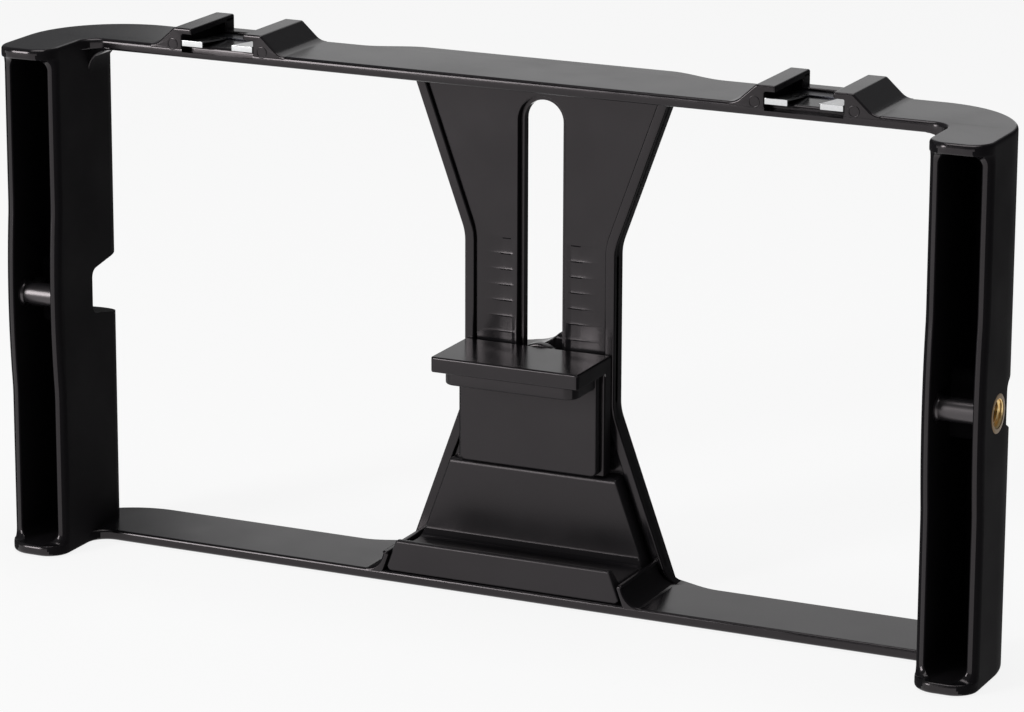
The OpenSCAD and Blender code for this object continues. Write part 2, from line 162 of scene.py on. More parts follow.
def add_floor(size, colour):
    mesh = bpy.data.meshes.new("floor")
    half = size / 2
    corners = [(-half, -half, 0), (half, -half, 0), (half, half, 0), (-half, half, 0)]
    mesh.from_pydata(corners, [], [(0, 1, 2, 3)])
    floor = bpy.data.objects.new("floor", mesh)
    bpy.context.scene.collection.objects.link(floor)
    material, tree, paper = new_material("pale_paper_sweep")
    set_inputs(paper, {"Base Color": linear(colour), "Roughness": PAPER_ROUGHNESS,
                       "Specular IOR Level": 0.0})
    rays = add_node(tree, "ShaderNodeLightPath").outputs
    seen = rays["Is Camera Ray"]
    for kind in ("Is Glossy Ray", "Is Transmission Ray"):
        either = add_node(tree, "ShaderNodeMath", {0: seen, 1: rays[kind]}, operation="MAXIMUM")
        seen = either.outputs[0]
    share = add_node(tree, "ShaderNodeMapRange", {"Value": seen}, {"To Max": 1 - LIT_SHARE})
    white = add_node(tree, "ShaderNodeEmission", values={"Color": linear("#ffffff"), "Strength": 1.0})
    mixed = add_node(tree, "ShaderNodeMixShader", {0: share.outputs["Result"], 1: paper.outputs["BSDF"],
                                                   2: white.outputs["Emission"]})
    tree.links.new(mixed.outputs["Shader"], tree.nodes["Material Output"].inputs["Surface"])
    mesh.materials.append(material)
    floor.location.z = -FLOOR_GAP
    return floor


def add_panel(name, place, width, height, watts):
    data = bpy.data.lights.new(name, "AREA")
    data.shape = "RECTANGLE"
    data.size = width
    data.size_y = height
    data.energy = watts
    lamp = bpy.data.objects.new(name, data)
    bpy.context.scene.collection.objects.link(lamp)
    lamp.location = place
    lamp.rotation_euler = (aim - Vector(place)).to_track_quat("-Z", "Y").to_euler()
    lamp.visible_camera = False
    return lamp


scene = bpy.context.scene
scene.view_settings.view_transform = "Standard"
world = bpy.data.worlds.new("studio")
scene.world = world
world.use_nodes = True
set_inputs(world.node_tree.nodes["Background"], {"Color": linear("#f4f5f7"), "Strength": WORLD_STRENGTH})
add_floor(FLOOR_SIZE, "#fafafa")
add_panel("overhead", (0.0, 0.0, 1.5), 1.0, 1.0, 9.5)
add_panel("back_left", (-0.6, 1.8, 0.6), 0.9, 1.4, 2.0)
add_panel("front_left", (-0.7, -1.1, 0.4), 0.32, 0.7, 10.5)

# %% [markdown]
# ## Uneven surfaces
# No real surface has one colour and one gloss. Each finish below lets a pattern in the material mix two
# close colours and move the roughness a little, and lets a fine relief bend the light. The patterns are
# laid out in the object's own space, so they keep their real size and move with the piece.

# %% Helpers for finishes
PATTERN_LOW, PATTERN_HIGH = 0.3, 0.7


def object_space(tree):
    return add_node(tree, "ShaderNodeTexCoord").outputs["Object"]


def noise(tree, place, size, detail):
    values = {"Scale": 1 / size, "Detail": detail}
    return add_node(tree, "ShaderNodeTexNoise", {"Vector": place}, values).outputs["Fac"]


def varied(tree, shader, pattern, colours, roughness, spread):
    """Mixes two colours by a pattern, which also moves the roughness by a little less or more."""
    tint = add_node(tree, "ShaderNodeMix", {"Factor": pattern}, data_type="RGBA")
    set_inputs(tint, {"A": linear(colours[0]), "B": linear(colours[1])})
    gloss = add_node(tree, "ShaderNodeMapRange", {"Value": pattern},
                     {"From Min": PATTERN_LOW, "From Max": PATTERN_HIGH,
                      "To Min": roughness + spread[0], "To Max": roughness + spread[1]})
    tree.links.new(tint.outputs["Result"], shader.inputs["Base Color"])
    tree.links.new(gloss.outputs["Result"], shader.inputs["Roughness"])


def relief(tree, shader, pattern, strength, height):
    bump = add_node(tree, "ShaderNodeBump", {"Height": pattern}, {"Strength": strength, "Distance": height})
    tree.links.new(bump.outputs["Normal"], shader.inputs["Normal"])


print("patterns run from", PATTERN_LOW, "to", PATTERN_HIGH)

# %% [markdown]
# ## Black ABS
# The frame, the jaw carriage and the knob are injection moulded ABS. The mould's spark-eroded skin gives a
# satin surface: very dark, with soft reflections and a slight warm violet cast. A fine grain breaks up
# the reflection, and broad uneven patches come from the way the melt cooled. The channels, the faces that
# look sideways and the cheeks' hollows get a darker, duller copy of the same ABS that mirrors little: painted
# shade. The bars across the channels get a lighter copy that mirrors much more: a painted highlight.

# %% ABS
GRAIN = 0.45 * MM
PATCH = 16 * MM
ABS_SPREAD = (-0.04, 0.05)
GRAIN_STRENGTH = 0.25
CAST = "#fff5f8"
PLASTIC_IOR = 1.5


def mirror_share(shader, share):
    """How much a plastic mirrors, tinted by its cast."""
    set_inputs(shader, {"IOR": PLASTIC_IOR, "Specular IOR Level": share, "Specular Tint": linear(CAST)})


def moulded_abs(name, colours, roughness, grain_height, share):
    material, tree, shader = new_material(name)
    place = object_space(tree)
    patches = noise(tree, place, PATCH, 3.0)
    grain = noise(tree, place, GRAIN, 2.0)
    varied(tree, shader, patches, colours, roughness, ABS_SPREAD)
    relief(tree, shader, grain, GRAIN_STRENGTH, grain_height)
    mirror_share(shader, share)
    return material


satin_abs = moulded_abs("satin_moulded_abs", ("#111012", "#161517"), 0.19, 0.008 * MM, 0.45)
# A darker, duller copy of the same ABS for sideways faces, channels and cheek hollows: painted shade.
shaded_abs = moulded_abs("abs_painted_shade", ("#0f0e10", "#131214"), 0.75, 0.02 * MM, 0.07)
# A lighter copy of the same ABS that mirrors much more, for the bars and seats: a painted highlight.
highlight_abs = moulded_abs("abs_painted_highlight", ("#161517", "#1b1a1c"), 0.3, 0.004 * MM, 1.0)
print("made", satin_abs.name, shaded_abs.name, highlight_abs.name)

# %% [markdown]
# ## Rubber
# The two pads that touch the phone are moulded rubber, with a fine pebbled skin and a broad soft shine. A
# second, duller copy that mirrors much less is for the pads' sides and for the face of the trough that leans
# up and forward: painted shade.

# %% Rubber
PEBBLE = 0.6 * MM
PEBBLE_HEIGHT = 0.03 * MM
PEBBLE_STRENGTH = 0.2
RUBBER_SPREAD = (-0.05, 0.05)
RUBBER_COLOURS = ("#131214", "#181719")


def moulded_rubber(name, colours, roughness, share):
    material, tree, shader = new_material(name)
    place = object_space(tree)
    pebble = add_node(tree, "ShaderNodeTexVoronoi", {"Vector": place}, {"Scale": 1 / PEBBLE})
    patches = noise(tree, place, PATCH, 4.0)
    varied(tree, shader, patches, colours, roughness, RUBBER_SPREAD)
    relief(tree, shader, pebble.outputs["Distance"], PEBBLE_STRENGTH, PEBBLE_HEIGHT)
    mirror_share(shader, share)
    return material


pad_rubber = moulded_rubber("moulded_rubber", RUBBER_COLOURS, 0.36, 0.4)
# A duller copy of the rubber that mirrors much less, for the pads' sides and the trough: painted shade.
shaded_rubber = moulded_rubber("rubber_painted_shade", RUBBER_COLOURS, 0.75, 0.12)
print("made", pad_rubber.name, "and", shaded_rubber.name)

# %% [markdown]
# ## Metals
# The shoe springs are stainless strip, bright from the rolls with fine lines along their length, and blued
# at their base. The bolt, nut and washer are zinc plated steel, a little softer and bluer. The inserts are
# brass: dark brown on the outside and the flange, as painted shade, and pale in the bore, as a painted
# highlight on the thread. In each metal one noise makes the lines. It is stretched along the direction in
# which the metal was worked.

# %% Steel and brass
LINE_HEIGHT = 0.01 * MM
LINE_STRENGTH = 0.15
METAL_SPREAD = (-0.05, 0.08)
ALONG_STRIP = (1, 0.08, 1)
EVEN = (1, 1, 1)
AROUND_BAR = (6, 1, 1)


def drawn_metal(name, colours, roughness, stretch, line):
    material, tree, shader = new_material(name)
    lines_at = add_node(tree, "ShaderNodeMapping", {"Vector": object_space(tree)}, {"Scale": stretch})
    lines = noise(tree, lines_at.outputs["Vector"], line, 4.0)
    varied(tree, shader, lines, colours, roughness, METAL_SPREAD)
    relief(tree, shader, lines, LINE_STRENGTH, LINE_HEIGHT)
    set_inputs(shader, {"Metallic": 1.0})
    return material


spring_steel = drawn_metal("rolled_stainless_strip", ("#e0e0e0", "#cccdcf"), 0.17, ALONG_STRIP, 0.3 * MM)
blued_steel = drawn_metal("blued_spring_steel", ("#4a4a50", "#3a3a40"), 0.3, ALONG_STRIP, 0.3 * MM)
zinc_steel = drawn_metal("zinc_plated_steel", ("#c9ccd1", "#a9adb4"), 0.34, EVEN, 0.5 * MM)
# Dark brown brass for the outside and the flange of the inserts: painted shade.
brass_painted_shade = drawn_metal("brass_painted_shade", ("#6b5229", "#554020"), 0.35, AROUND_BAR, 0.8 * MM)
# Pale brass for the bore of the inserts: a painted highlight on the thread.
brass_painted_highlight = drawn_metal("brass_thread_painted_highlight", ("#f7deaa", "#e8c98c"), 0.36, AROUND_BAR, 0.8 * MM)
print("made", spring_steel.name, blued_steel.name, zinc_steel.name, brass_painted_shade.name, brass_painted_highlight.name)

# %% [markdown]
# ## Rounded edges
# The solids have sharp edges, but nothing that comes out of a mould does. Each piece is copied, its flat
# faces are merged, and every sharp edge is given a radius in millimetres by a small rule for that piece.
# The Bevel modifier then rounds each edge by its own weight, and weighted normals keep the flat faces flat
# beside the roundings. A piece may have a second material, for the faces that a test picks.

# %% Copy a node and round its edges
SHARP = math.radians(24)
WIDEST = 1.2 * MM
COPY_MERGE = 0.02 * MM
COPY_FLAT = math.radians(0.6)


def rounded_copy(node_name, piece_name, body, material, rule, segments=3, other=None, where=None):
    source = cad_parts[node_name]
    mesh = source.data.copy()
    mesh.name = piece_name
    mesh.materials.clear()
    mesh.materials.append(material)
    if other:
        mesh.materials.append(other)
    bm = bmesh.new()
    bm.from_mesh(mesh)
    bmesh.ops.remove_doubles(bm, verts=bm.verts, dist=COPY_MERGE)
    bmesh.ops.dissolve_limit(bm, angle_limit=COPY_FLAT, verts=bm.verts, edges=bm.edges)
    if other:
        for face in bm.faces:
            face.material_index = 1 if where(face.calc_center_median(), face.normal) else 0
    layers = bm.edges.layers.float
    weight = layers.get("bevel_weight_edge") or layers.new("bevel_weight_edge")
    rounded = 0
    for edge in bm.edges:
        if len(edge.link_faces) != 2:
            continue
        angle = edge.calc_face_angle_signed()
        if abs(angle) < SHARP:
            continue
        middle = (edge.verts[0].co + edge.verts[1].co) / 2
        along = (edge.verts[1].co - edge.verts[0].co).normalized()
        edge[weight] = min(1.0, rule(middle, along, angle) * MM / WIDEST)
        rounded += 1
    for face in bm.faces:
        face.smooth = True
    bm.to_mesh(mesh)
    bm.free()
    piece = bpy.data.objects.new(piece_name, mesh)
    bpy.context.scene.collection.objects.link(piece)
    bevel = piece.modifiers.new("rounded edges", "BEVEL")
    bevel.limit_method = "WEIGHT"
    bevel.width = WIDEST
    bevel.segments = segments
    bevel.use_clamp_overlap = False
    bevel.miter_outer = "MITER_ARC"
    piece.modifiers.new("flat faces stay flat", "WEIGHTED_NORMAL")
    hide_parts(node_name)
    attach(piece, body)
    print(piece_name, "has", rounded, "rounded edges")
    return piece


def even_edges(radius):
    """A rule that gives every sharp edge the same radius."""
    return lambda middle, along, angle: radius


print("edges of more than", round(math.degrees(SHARP)), "degrees are rounded")

# %% [markdown]
# ## Outlines
# Most of the frame is flat stock with rounded edges: plates, ribs, cheeks and rails. Rounding such a piece
# after the fact is fragile where outlines are curved, so each one is drawn as an outline and built in rings
# instead: the outline is drawn in a little for each step of a quarter circle. Sizes here are in millimetres,
# with x from the middle, y from the handle rims and z from the base.

# %% Outline helpers
MITRE_LIMIT = 0.4
NEARLY_STRAIGHT = math.radians(89)


def arc(centre, radius, start, end, steps=10):
    angles = [math.radians(start + (end - start) * i / steps) for i in range(steps + 1)]
    return [(centre[0] + radius * math.cos(a), centre[1] + radius * math.sin(a)) for a in angles]


def circle(centre, radius, count):
    return arc(centre, radius, 0, 360 - 360 / count, count - 1)


def quarter_turn(steps):
    """Angles from 0 to a right angle."""
    return [math.radians(90 * k / steps) for k in range(steps + 1)]


def clamped(share):
    return min(1, max(0, share))


def eased(share):
    """A soft step from 0 to 1."""
    return share * share * (3 - 2 * share)


def mirrored(points):
    return [(-x, y) for x, y in reversed(points)]


def turned(points, anticlockwise):
    area = sum(a[0] * b[1] - b[0] * a[1] for a, b in zip(points, points[1:] + points[:1]))
    return points if (area > 0) == anticlockwise else points[::-1]


def drawn_in(points, distance):
    """The outline moved to the left of its own direction, each corner along its mitre."""
    moved = []
    for i, (x, y) in enumerate(points):
        before, after = Vector(points[i - 1]), Vector(points[(i + 1) % len(points)])
        first, second = (Vector((x, y)) - before).normalized(), (after - Vector((x, y))).normalized()
        first, second = Vector((-first.y, first.x)), Vector((-second.y, second.x))
        mitre = (first + second) / max(MITRE_LIMIT, 1 + first.dot(second))
        moved.append((x + mitre.x * distance, y + mitre.y * distance))
    return moved


def round_corners(points, radii, steps=6):
    """An outline of straight lines with an arc of its own radius at each corner."""
    outline = []
    for i, radius in enumerate(radii):
        corner = Vector(points[i])
        to_last = (Vector(points[i - 1]) - corner).normalized()
        to_next = (Vector(points[(i + 1) % len(points)]) - corner).normalized()
        half = to_last.angle(to_next) / 2
        if radius == 0 or half > NEARLY_STRAIGHT:
            outline.append(points[i])
            continue
        centre = corner + (to_last + to_next).normalized() * (radius / math.sin(half))
        first = corner + to_last * (radius / math.tan(half)) - centre
        last = corner + to_next * (radius / math.tan(half)) - centre
        sweep = first.angle_signed(last)
        for k in range(steps + 1):
            turn_by = -sweep * k / steps
            c, n = math.cos(turn_by), math.sin(turn_by)
            outline.append((centre.x + first.x * c - first.y * n, centre.y + first.x * n + first.y * c))
    return outline


print("a quarter circle takes", len(quarter_turn(6)), "points at 6 steps")

# %% [markdown]
# ## From outlines to solids
# An outline has two directions and a slab a third. Three small functions say how they lie in the rig: lying
# for plates, facing for what is drawn as the user sees it, and sideways for what is drawn from the side. A
# slab may have holes, and each end of it may have an edge radius. A sheet joins rows of points.

# %% Slabs and sheets
EDGE_STEPS = 5


def lying(a, b, h):
    return Vector((a, b + rim_y / MM, h)) * MM


def facing(a, b, h):
    return Vector((a, h + rim_y / MM, b)) * MM


def sideways(a, b, h):
    return Vector((h, a + rim_y / MM, b)) * MM


def edge_profile(radius, steps):
    """How far an outline is drawn in, and how far from the end it lies, from the end inwards."""
    if not radius:
        return [(0, 0)]
    return [(radius * (1 - math.sin(t)), radius * (1 - math.cos(t))) for t in quarter_turn(steps)]


def rounded_slab(bm, loops, low, high, low_r, high_r, place, steps=EDGE_STEPS):
    """A slab between two heights; the first loop is its outside and the others are holes."""
    loops = [turned(list(loop), i == 0) for i, loop in enumerate(loops)]
    profile = [(inset, low + rise) for inset, rise in edge_profile(low_r, steps)]
    profile += [(inset, high - rise) for inset, rise in reversed(edge_profile(high_r, steps))]
    rings, made = [], []
    for inset, height in profile:
        inner = [drawn_in(loop, inset) for loop in loops]
        rings.append([[bm.verts.new(place(a, b, height)) for a, b in loop] for loop in inner])
    for lower_ring, upper_ring in zip(rings, rings[1:]):
        for first, second in zip(lower_ring, upper_ring):
            count = len(first)
            for i in range(count):
                j = (i + 1) % count
                made.append(bm.faces.new((first[i], first[j], second[j], second[i])))
    for ends in (rings[0], rings[-1]):
        corners = [vert for loop in ends for vert in loop]
        for a, b, c in tessellate_polygon([[vert.co for vert in loop] for loop in ends]):
            made.append(bm.faces.new((corners[a], corners[b], corners[c])))
    bmesh.ops.recalc_face_normals(bm, faces=made)
    return made


def sheet(bm, rows, around=False):
    """Four-sided faces between rows of points; around joins the end of each row to its start."""
    lines = [[bm.verts.new(point) for point in row] for row in rows]
    for first, second in zip(lines, lines[1:]):
        count = len(first)
        for i in range(count if around else count - 1):
            j = (i + 1) % count
            bm.faces.new((first[i], first[j], second[j], second[i]))
    return lines


print("a rounded edge takes", EDGE_STEPS, "steps")

# %% [markdown]
# ## Plates
# The two plates share one plan: a straight front edge between the handles, a round throat, the rounded end
# in front of each handle, the big outer corner, and a gentle step back behind the spine. Each plate is built
# in two layers. The outer layer has the whole plan, and on top of the rig it is cut back at the front of each
# shoe, which leaves a low sill there. The inner layer ends inside the handles' walls, so that no seam shows
# between a plate and a handle.

# %% Plates
HALF = half_width / MM
INNER = handle_inner / MM
HEIGHT = top_face / MM
MIDDLE = mid_height / MM
CAP = CAP_REACH / MM
SHOE_X = (shoe_low.x + shoe_high.x) / 2 / MM
PLATE_T = 2.6
LAYER = 1.3
BAR_FRONT = 15.0
BACK_Y = 36.2
SPINE_BACK = 40.5
STEP_X = 46
STEP_L = 15
STEP_POINTS = 12
CORNER_R = 24.0
HEEL_R = 5.3
THROAT_R = 4.5
CAP_R = 5.6
SHOE_W = 18.7
SILL_D = 2.8
OUTER_EDGE = 0.9
INNER_EDGE = 0.7
LAP = 1.2
# A face of a handle with more than this share of its normal along x is on the side
HANDLE_SIDE = 0.5
# Places of the three materials in the frame's list
SATIN, PAINTED_SHADE, PAINTED_HIGHLIGHT = 0, 1, 2
corner = (HALF - CORNER_R, BACK_Y - CORNER_R)
heel_x = INNER + HEEL_R
heel = (heel_x, corner[1] + math.sqrt((CORNER_R - HEEL_R) ** 2 - (heel_x - corner[0]) ** 2))
heel_angle = math.degrees(math.atan2(heel[1] - corner[1], heel[0] - corner[0]))


def plate_plan(ends, sills=False):
    """Plan of a plate layer; ends is the part that lies in the right handle."""
    side = [(0, BAR_FRONT)]
    if sills:
        left, right, behind = SHOE_X - SHOE_W / 2, SHOE_X + SHOE_W / 2, BAR_FRONT + SILL_D
        side += [(left, BAR_FRONT), (left, behind), (right, behind), (right, BAR_FRONT)]
    side += arc((INNER - THROAT_R, BAR_FRONT - THROAT_R), THROAT_R, 90, 0) + ends
    side += arc(corner, CORNER_R, heel_angle, 90, 16)
    for i in range(STEP_POINTS + 1):
        t = i / STEP_POINTS
        side.append((STEP_X - STEP_L * t, BACK_Y + (SPINE_BACK - BACK_Y) * eased(t)))
    side.append((0, SPINE_BACK))
    return side + mirrored(side)[1:-1]


cap_y = CAP_R - CAP
whole_ends = arc((INNER + CAP_R, cap_y), CAP_R, 180, 270) + arc((HALF - CAP_R, cap_y), CAP_R, 270, 360)
whole_ends += arc(corner, CORNER_R, 0, heel_angle, 12)[:-1]
inner_ends = [(INNER + LAP, BAR_FRONT - THROAT_R)] + arc(heel, HEEL_R - LAP, 180, heel_angle)
shell = bmesh.new()
rounded_slab(shell, [plate_plan(whole_ends)], 0, LAYER, OUTER_EDGE, 0, lying)
rounded_slab(shell, [plate_plan(inner_ends)], LAYER, PLATE_T, 0, INNER_EDGE, lying)
rounded_slab(shell, [plate_plan(inner_ends)], HEIGHT - PLATE_T, HEIGHT - LAYER, INNER_EDGE, 0, lying)
rounded_slab(shell, [plate_plan(whole_ends, True)], HEIGHT - LAYER, HEIGHT, 0, OUTER_EDGE, lying)
# Sideways faces of the plate layers inside the handles get the darker ABS copy: painted shade.
for face in shell.faces:
    in_handle = abs(face.calc_center_median().x) > handle_inner
    face.material_index = PAINTED_SHADE if in_handle and abs(face.normal.x) > HANDLE_SIDE else SATIN
print("plates:", len(shell.faces), "faces")

# %% [markdown]
# ## Handles
# A handle is a channel open to the user, moulded in one with the plates. Its skin is a stack of outlines.
# They reach forward with a big corner radius at the plates, sweep back to the rims in a curve, and bulge
# forward a little at mid height. These functions give the outlines of the skin, of the channel inside it
# and of the notch across the back.

# %% Outlines of a handle
WALL = 2.5
CHANNEL_R = 2.8
RIM_R = 2.0
RIM_END = 2.5
CAP_EDGE = 0.8
BULGE = 1.1
BULGE_H = 44.0
NOTCH_Y = 14.7
NOTCH_H = 10.6
NOTCH_R = 2.2
NOTCH_BACK = 40
NOTCH_SLOPE = math.tan(math.radians(10))
SIDE_STEPS = 48
ROUND_STEPS = 6
FLOOR_DIP = 0.03
FLOOR = PLATE_T - FLOOR_DIP


def handle_plan(front, radius, inset=0):
    """Plan of a handle with round front corners, or of the channel in it."""
    left, right = INNER + inset, HALF - inset
    outline = arc((left + radius, front + radius), radius, 180, 270, 8)
    outline += arc((right - radius, front + radius), radius, 270, 360, 8)
    outline += arc(corner, CORNER_R - inset, 0, heel_angle, 16)
    return outline + arc(heel, HEEL_R - inset, heel_angle, 180, 12)


def rim_path(z):
    """Front of the rims at a height."""
    from_end = max(0, min(z - PLATE_T, HEIGHT - PLATE_T - z))
    if from_end < RIM_END:
        return math.sqrt(RIM_END ** 2 - (RIM_END - from_end) ** 2) - RIM_END
    bow = (BULGE_H ** 2 / 4 + BULGE ** 2) / (2 * BULGE)
    off = z - MIDDLE
    if abs(off) < BULGE_H / 2:
        return bow - BULGE - math.sqrt(bow ** 2 - off ** 2)
    return 0.0


def between(low, high):
    """Evenly spaced heights between two heights, without the ends."""
    return [low + (high - low) * k / SIDE_STEPS for k in range(1, SIDE_STEPS)]


def handle_levels():
    """Height, front and corner radius of each outline, from the lower plate to the upper one."""
    low = [(LAYER, -CAP, CAP_R)]
    for t in quarter_turn(ROUND_STEPS):
        behind = CAP_EDGE * (1 - math.cos(t))
        low.append((PLATE_T - CAP_EDGE * (1 - math.sin(t)), behind - CAP, CAP_R - behind))
    for t in quarter_turn(ROUND_STEPS):
        front = RIM_END * (math.sin(t) - 1)
        share = -front / (CAP - CAP_EDGE)
        radius = RIM_R + (CAP_R - CAP_EDGE - RIM_R) * share
        low.append((PLATE_T + RIM_END * (1 - math.cos(t)), front, radius))
    start = PLATE_T + RIM_END
    middle = [(z, rim_path(z), RIM_R) for z in between(start, HEIGHT - start)]
    return low + middle + [(HEIGHT - z, front, radius) for z, front, radius in reversed(low)]


def notch_side(grow):
    """Side view of the notch, or of the web around it."""
    low = NOTCH_H / 2 + grow
    high = low + (NOTCH_BACK - NOTCH_Y) * NOTCH_SLOPE
    front = NOTCH_Y - grow
    corners = [(front, MIDDLE - low), (NOTCH_BACK, MIDDLE - high), (NOTCH_BACK, MIDDLE + high),
               (front, MIDDLE + low)]
    return round_corners(corners, [NOTCH_R, 0, 0, NOTCH_R])


def channel_front():
    """Front view of the channel, with points along its sides for the bulge."""
    left, right = INNER + WALL + CHANNEL_R, HALF - WALL - CHANNEL_R
    low, high = FLOOR + CHANNEL_R, HEIGHT - FLOOR - CHANNEL_R
    side = between(low, high)
    outline = arc((left, low), CHANNEL_R, 180, 270) + arc((right, low), CHANNEL_R, 270, 360)
    outline += [(right + CHANNEL_R, z) for z in side] + arc((right, high), CHANNEL_R, 0, 90)
    return outline + arc((left, high), CHANNEL_R, 90, 180) + [(left - CHANNEL_R, z) for z in reversed(side)]


print("a handle has", len(handle_levels()), "outlines of", len(handle_plan(0, RIM_R)), "points")

# %% [markdown]
# ## Cutting the handle
# Booleans cut out the channel with its round ends, the rounded edge of its mouth, the notch across the back
# and the hole for the insert. Each tool is a closed solid of its own. The web that stands around the notch
# is first taken away from the channel's tool.

# %% Cut the handle
MOUTH_EDGE = 0.45
MOUTH_FADE = 3
MOUTH_LAP = 0.05
BEFORE_RIM = 20
BEYOND = 9
ENDS_FRONT, ENDS_BACK = -30, 60
CHANNEL_CORNER = 0.5
AXIS_Y = 8.9
INSERT_R = 3.4
INSERT_L = 4.8
FLANGE_R = 4.5
FLANGE_T = 1.5
HOLE_POINTS = 60


def stacked(name, rows):
    """A closed object from rows of points, with a flat face on the first and the last row."""
    bm = bmesh.new()
    lines = sheet(bm, rows, True)
    bm.faces.new(reversed(lines[0]))
    bm.faces.new(lines[-1])
    bmesh.ops.recalc_face_normals(bm, faces=bm.faces)
    mesh = bpy.data.meshes.new(name)
    bm.to_mesh(mesh)
    bm.free()
    made = bpy.data.objects.new(name, mesh)
    bpy.context.scene.collection.objects.link(made)
    return made


def solid(name, outline, low, high, place):
    return stacked(name, [[place(a, b, h) for a, b in outline] for h in (low, high)])


def cut(target, tool, operation):
    step = target.modifiers.new(operation, "BOOLEAN")
    step.operation = operation
    step.object = tool
    step.solver = "EXACT"
    bpy.context.view_layer.update()
    evaluated = target.evaluated_get(bpy.context.evaluated_depsgraph_get())
    cut_mesh = bpy.data.meshes.new_from_object(evaluated)
    target.modifiers.clear()
    target.data = cut_mesh
    bpy.data.objects.remove(tool)
    return target


def mouth():
    """The channel's outline, widened in a quarter circle towards the rims; it fades out at the plates."""
    outline = channel_front()
    wider = drawn_in(outline, -1)
    rows = []
    angles = quarter_turn(ROUND_STEPS)[:-1]
    steps = [(MOUTH_EDGE * (1 - math.cos(t)), MOUTH_EDGE * (1 - math.sin(t))) for t in angles]
    steps.append((steps[-1][0] + math.tan(angles[-1]), steps[-1][1] - 1))
    for grow, behind in steps:
        row = []
        for (x, z), (wide_x, wide_z) in zip(outline, wider):
            fade = clamped(min(z - FLOOR, HEIGHT - FLOOR - z) / MOUTH_FADE)
            share = (grow + MOUTH_LAP) * eased(fade) - MOUTH_LAP
            row.append(facing(x + (wide_x - x) * share, z + (wide_z - z) * share, rim_path(z) + behind))
        rows.append(row)
    rows.append([Vector((point.x, rim_y - BEFORE_RIM * MM, point.z)) for point in rows[-1]])
    return stacked("mouth", rows)


channel = solid("channel", handle_plan(-BEFORE_RIM, CHANNEL_CORNER, WALL), 0, HEIGHT, lying)
cut(channel, solid("channel ends", channel_front(), ENDS_FRONT, ENDS_BACK, facing), "INTERSECT")
cut(channel, solid("web", notch_side(WALL), INNER, HALF, sideways), "DIFFERENCE")
levels = handle_levels()
handle = stacked("handle", [[lying(a, b, z) for a, b in handle_plan(f, r)] for z, f, r in levels])
cut(handle, channel, "DIFFERENCE")
cut(handle, mouth(), "DIFFERENCE")
cut(handle, solid("notch", notch_side(0), INNER - BEYOND, HALF + BEYOND, sideways), "DIFFERENCE")
for radius, depth in ((INSERT_R, INSERT_L), (FLANGE_R, FLANGE_T)):
    hole = circle((AXIS_Y, MIDDLE), radius, HOLE_POINTS)
    cut(handle, solid("hole", hole, HALF - depth, HALF + BEYOND, sideways), "DIFFERENCE")
print("the cut handle has", len(handle.data.polygons), "faces")

# %% [markdown]
# ## Bar, seat and both handles
# A round bar crosses the channel near its mouth, with a small fillet at each wall, and the closed seat of the
# insert stands behind it. The edges of the notch are rounded after the cuts that make them. The finished
# right handle is then mirrored for the left. The front of the rims is satin. The bar and the seat get the
# lighter ABS that mirrors more, a painted highlight, and the rest gets the darker ABS, painted shade.

# %% Bar, seat and both handles
BAR_R = 2.7
CROSS_Y = 4.4
CROSS_RISE = 1.0
CROSS_FOOT = 0.8
SEAT_R = 3.5
SEAT_L = 5.3
SEAT_EDGE = 0.3
INTO_WALL = 1
POLE = 0.02
RING_POINTS = 72
CUT_MERGE = 0.005 * MM
CUT_FLAT = math.radians(0.3)
NOTCH_EDGE = 0.7 * MM
NOTCH_MARGIN = 0.5
NOTCH_REACH = 11
RIM_DEPTH = 2 * MM
RIM_TURN = 0.36


def ring(x, radius, centre=(AXIS_Y, MIDDLE)):
    return [sideways(a, b, x) for a, b in circle(centre, radius, RING_POINTS)]


def cross_bar(bm):
    """The bar across the channel's mouth, filleted at both ends, and the insert's closed seat behind it."""
    foot = [(1 - math.cos(t), 1 - math.sin(t)) for t in quarter_turn(ROUND_STEPS)]
    left, seat, right = INNER + WALL, HALF - SEAT_L, HALF - WALL
    bar = [(left - INTO_WALL, BAR_R + CROSS_FOOT)]
    bar += [(left + CROSS_FOOT * a, BAR_R + CROSS_FOOT * b) for a, b in foot]
    bar += [(right - CROSS_FOOT * a, BAR_R + CROSS_FOOT * b) for a, b in reversed(foot)]
    bar += [(right + INTO_WALL, BAR_R + CROSS_FOOT)]
    sheet(bm, [ring(x, radius, (CROSS_Y, MIDDLE + CROSS_RISE)) for x, radius in bar], True)
    cup = [(seat, POLE)]
    cup += [(seat + SEAT_EDGE * (1 - b), SEAT_R - SEAT_EDGE * (1 - a)) for a, b in foot]
    cup += [(right, SEAT_R)]
    sheet(bm, [ring(x, radius) for x, radius in cup], True)


def on_notch(edge):
    """Whether an edge is an outer edge of the notch."""
    if len(edge.link_faces) != 2 or edge.calc_face_angle_signed() <= SHARP:
        return False
    middle = (edge.verts[0].co + edge.verts[1].co) / MM / 2
    return middle.y - rim_y / MM > NOTCH_Y - NOTCH_MARGIN and abs(middle.z - MIDDLE) < NOTCH_REACH


def mirror_mesh(bm):
    """Turns a right piece into a left one."""
    bmesh.ops.scale(bm, vec=(-1, 1, 1), verts=bm.verts)
    bmesh.ops.reverse_faces(bm, faces=bm.faces)


one_handle = bmesh.new()
one_handle.from_mesh(handle.data)
bpy.data.objects.remove(handle)
bmesh.ops.remove_doubles(one_handle, verts=one_handle.verts, dist=CUT_MERGE)
bmesh.ops.dissolve_limit(one_handle, angle_limit=CUT_FLAT, verts=one_handle.verts, edges=one_handle.edges)
notch_edges = [edge for edge in one_handle.edges if on_notch(edge)]
bmesh.ops.bevel(one_handle, geom=notch_edges, offset=NOTCH_EDGE, segments=3, profile=0.5, clamp_overlap=True)
one_handle.normal_update()
